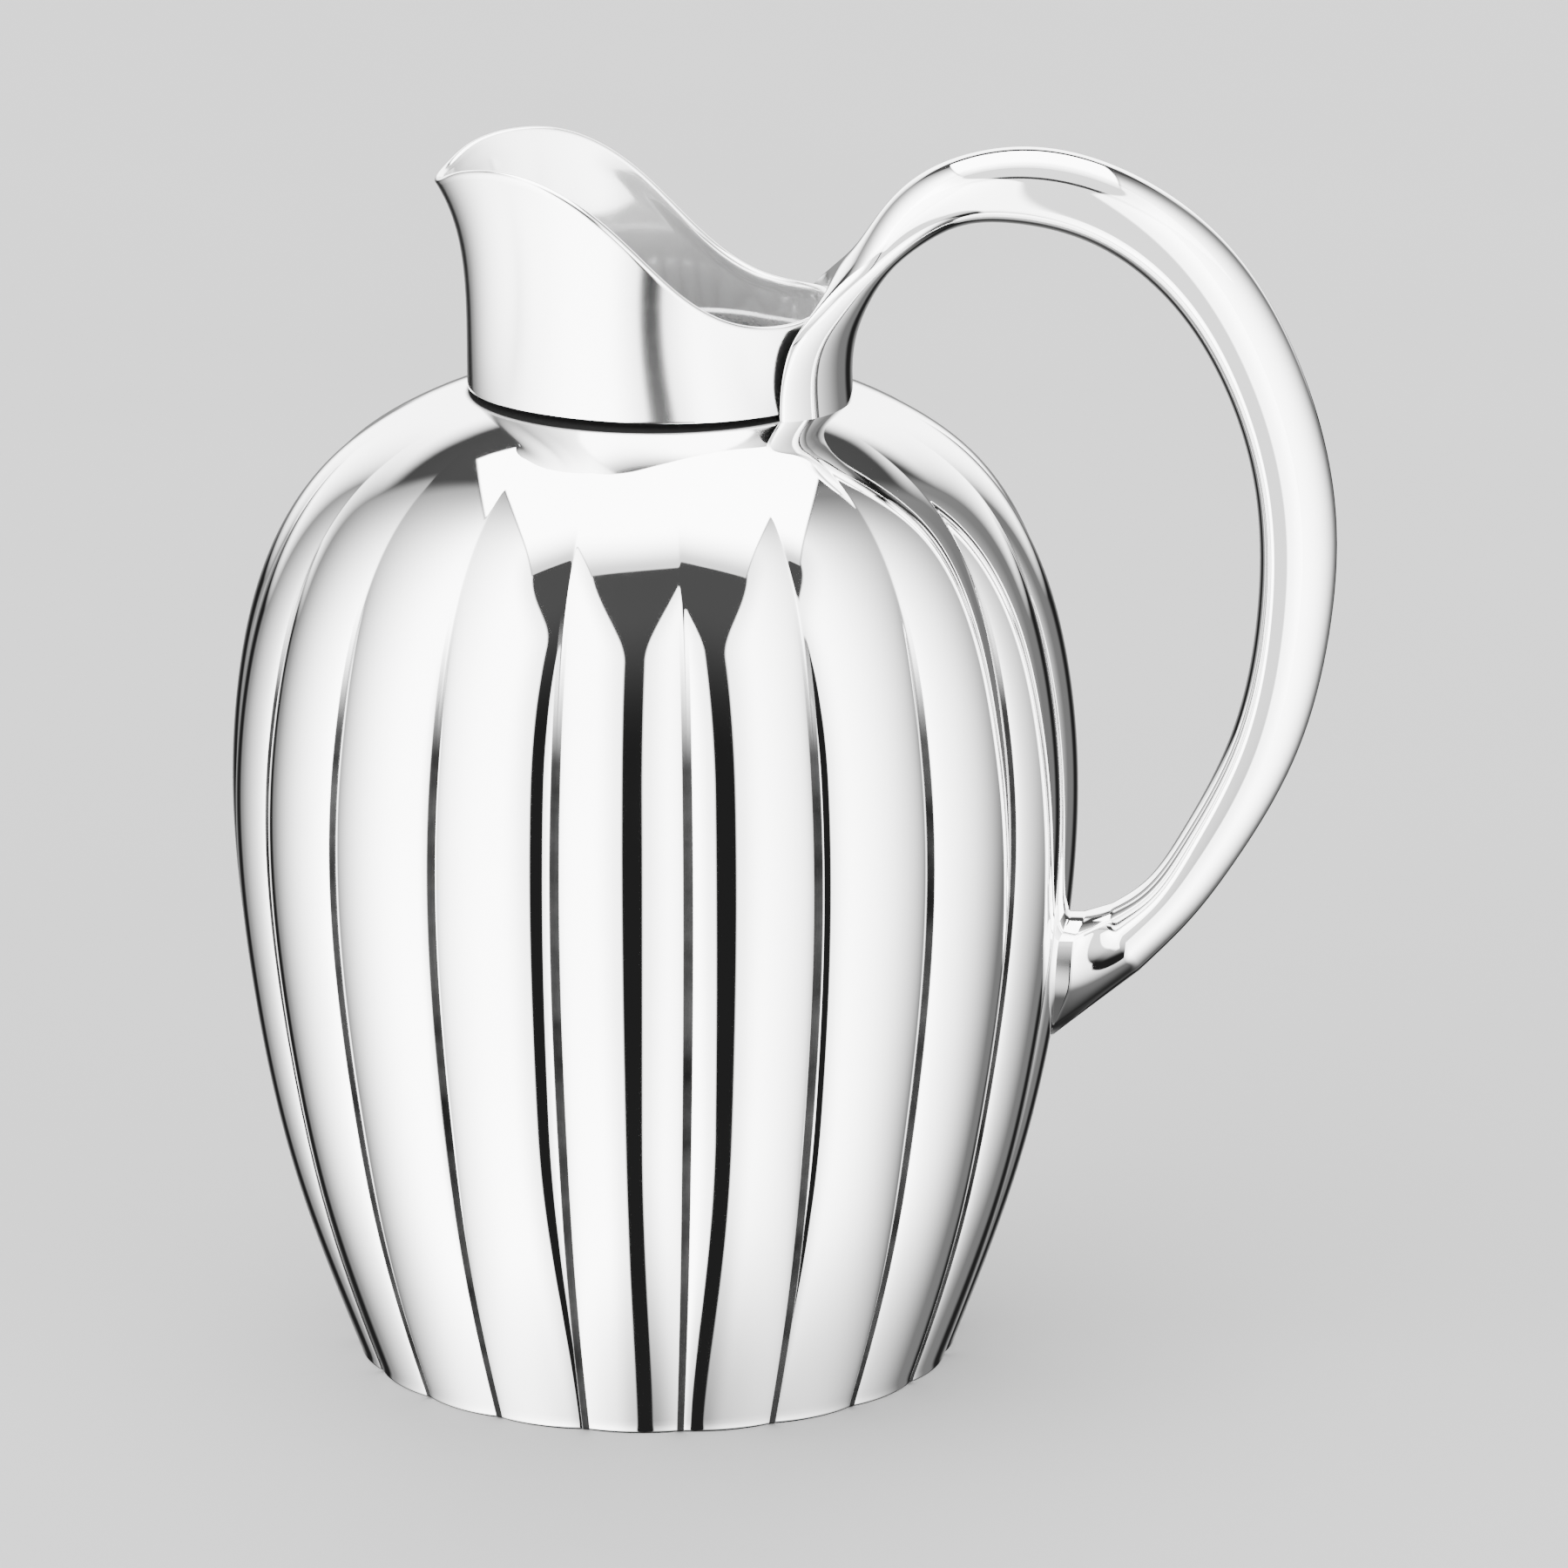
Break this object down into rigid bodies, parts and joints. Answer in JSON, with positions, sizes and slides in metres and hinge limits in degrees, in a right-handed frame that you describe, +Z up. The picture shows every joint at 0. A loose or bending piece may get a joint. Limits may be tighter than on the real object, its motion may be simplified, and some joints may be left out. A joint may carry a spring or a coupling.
{
  "type": "water pitcher",
  "caption": "Polished metal water pitcher with a vertically lobed, egg-shaped body, a smooth collar with a beaked pouring spout and a tall loop handle.",
  "frame": {"origin": "centre of the flat base, on the surface that the pitcher stands on", "axes": "+Z up, +X towards the handle with the spout at -X, and the XZ plane is the plane of symmetry"},
  "size_m": [0.1935, 0.1488, 0.2172],
  "materials": {
    "polished_metal": "mirror polish",
    "base_metal": "fine turned satin",
    "inner_metal": "satin",
    "filler_metal": "satin solder"
  },
  "bodies": {
    "root": {"body_shell": "polished_metal", "base_plate": "base_metal", "base_filler_ring": "filler_metal", "collar_shell": "polished_metal", "rim_lip": "polished_metal", "neck_backing_ring": "inner_metal", "collar_filler_ring": "filler_metal", "handle_root": "polished_metal", "handle_left_shell": "polished_metal", "handle_right_shell": "polished_metal", "handle_foot": "polished_metal", "foot_backing_patch": "inner_metal"}
  },
  "joints": []
}
